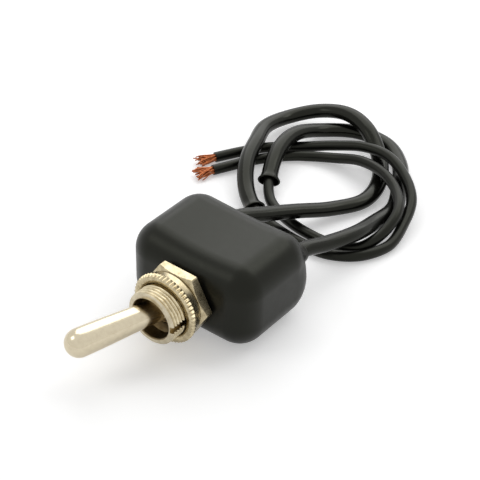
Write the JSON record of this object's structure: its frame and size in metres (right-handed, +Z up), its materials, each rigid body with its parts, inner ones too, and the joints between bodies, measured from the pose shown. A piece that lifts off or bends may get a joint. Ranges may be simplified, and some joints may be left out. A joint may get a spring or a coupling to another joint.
{
  "type": "panel toggle switch with flying leads",
  "caption": "Panel toggle switch with a metal bat lever, threaded bushing and nuts, a rounded black jacket and two sleeved black flying leads.",
  "frame": {"origin": "on the bushing's axis, in the hex nut's front face, where a panel seats", "axes": "+Y from the lever towards the leads, +Z up from the side that the jacket rests on, +X along the jacket, towards the keyway"},
  "size_m": [0.057, 0.1113, 0.0194],
  "materials": {
    "jacket_pvc": "satin black moulded PVC",
    "wire_pvc": "satin black PVC insulation",
    "sleeve_pvc": "glossy black PVC tubing",
    "nickel_plate": "satin nickel plate, slightly worn",
    "polished_nickel": "polished nickel plate",
    "zinc_plated_steel": "zinc plate",
    "spring_steel": "bright spring wire",
    "brass_strip": "rolled brass",
    "contact_silver": "silver",
    "bare_copper": "bright bare copper",
    "phenolic": "brown phenolic moulding",
    "vulcanised_fibre": "fibre sheet",
    "red_nylon": "moulded nylon"
  },
  "bodies": {
    "switch": {"jacket": "jacket_pvc", "frame": "zinc_plated_steel", "insulator": "vulcanised_fibre", "base": "phenolic", "bushing": "nickel_plate", "hex_nut": "nickel_plate", "ring_nut": "nickel_plate", "cradle": "brass_strip", "centre_rivet": "brass_strip", "fixed_contact": "contact_silver", "common_terminal": "brass_strip", "end_terminal": "brass_strip", "core_a": "bare_copper", "core_b": "bare_copper", "lead_a": "wire_pvc", "lead_b": "wire_pvc", "sleeve_a": "sleeve_pvc", "sleeve_b": "sleeve_pvc", "strands_a": "bare_copper", "strands_b": "bare_copper"},
    "toggle": {"lever": "polished_nickel", "pivot_pin": "zinc_plated_steel", "plunger_spring": "spring_steel"},
    "plunger_body": {"plunger": "red_nylon"},
    "rocker_body": {"rocker": "brass_strip", "moving_contact": "contact_silver"}
  },
  "joints": [
    {"name": "lever_throw", "type": "hinge", "parent": "switch", "child": "toggle", "pos_m": [0, -0.0008, 0], "axis": [0, 0, 1], "range_deg": [0, 33]},
    {"name": "rocker_tilt", "type": "hinge", "parent": "switch", "child": "rocker_body", "pos_m": [0, 0.0124, 0], "axis": [0, 0, 1], "range_deg": [-10, 0]},
    {"name": "plunger_slide", "type": "slide", "parent": "toggle", "child": "plunger_body", "axis": [-0.284, -0.9588, 0], "range_m": [0, 0.0008], "stiffness_N_per_m": 300, "springref_m": -0.001, "deforming": ["plunger_spring"]}
  ],
  "couplings": [
    {"joint": "rocker_tilt", "follows": "lever_throw", "ratio": -0.30303}
  ]
}
